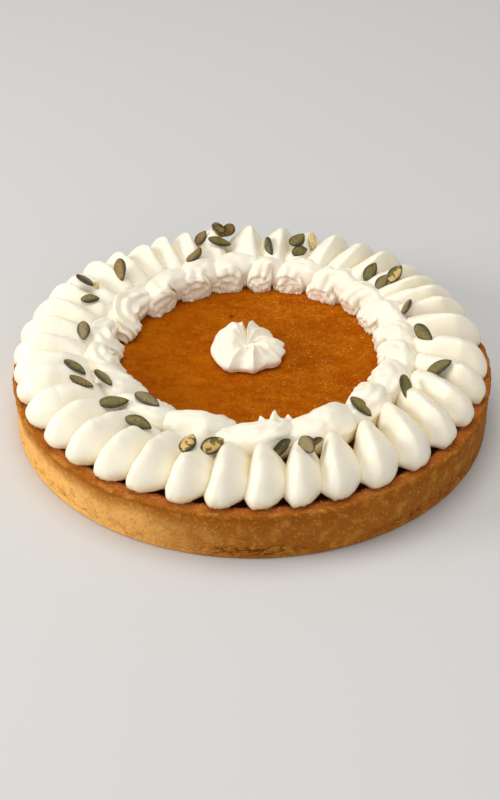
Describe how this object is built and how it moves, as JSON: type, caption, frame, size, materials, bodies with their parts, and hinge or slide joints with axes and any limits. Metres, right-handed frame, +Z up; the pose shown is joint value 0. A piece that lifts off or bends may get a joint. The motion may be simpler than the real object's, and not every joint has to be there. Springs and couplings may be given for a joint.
{
  "type": "pumpkin pie",
  "caption": "Round open pumpkin tart: straight-walled baked crust, smooth custard filling, a border of piped cream petals, an inner ring of piped shells and a centre rosette.",
  "frame": {"origin": "centre of the underside, where the crust rests", "axes": "+Z up, -Y the front of the tart, +X its right"},
  "size_m": [0.24, 0.24, 0.0446],
  "materials": {
    "crust": "matt baked shortcrust, golden brown with a darker rim",
    "filling": "glossy set pumpkin custard, orange brown",
    "cream": "satin whipped cream, warm white",
    "seeds": "satin hulled pumpkin seeds, olive green to brown"
  },
  "bodies": {
    "root": {"crust": "crust", "filling": "filling", "petal_01": "cream", "petal_02": "cream", "petal_03": "cream", "petal_04": "cream", "petal_05": "cream", "petal_06": "cream", "petal_07": "cream", "petal_08": "cream", "petal_09": "cream", "petal_10": "cream", "petal_11": "cream", "petal_12": "cream", "petal_13": "cream", "petal_14": "cream", "petal_15": "cream", "petal_16": "cream", "petal_17": "cream", "petal_18": "cream", "petal_19": "cream", "petal_20": "cream", "petal_21": "cream", "petal_22": "cream", "petal_23": "cream", "petal_24": "cream", "petal_25": "cream", "petal_26": "cream", "petal_27": "cream", "petal_28": "cream", "petal_29": "cream", "petal_30": "cream", "petal_31": "cream", "petal_32": "cream", "petal_33": "cream", "petal_34": "cream", "petal_35": "cream", "petal_36": "cream", "petal_37": "cream", "petal_38": "cream", "petal_39": "cream", "petal_40": "cream", "shell_01": "cream", "shell_02": "cream", "shell_03": "cream", "shell_04": "cream", "shell_05": "cream", "shell_06": "cream", "shell_07": "cream", "shell_08": "cream", "shell_09": "cream", "shell_10": "cream", "shell_11": "cream", "shell_12": "cream", "shell_13": "cream", "shell_14": "cream", "shell_15": "cream", "shell_16": "cream", "shell_17": "cream", "rosette": "cream"}
  },
  "joints": []
}
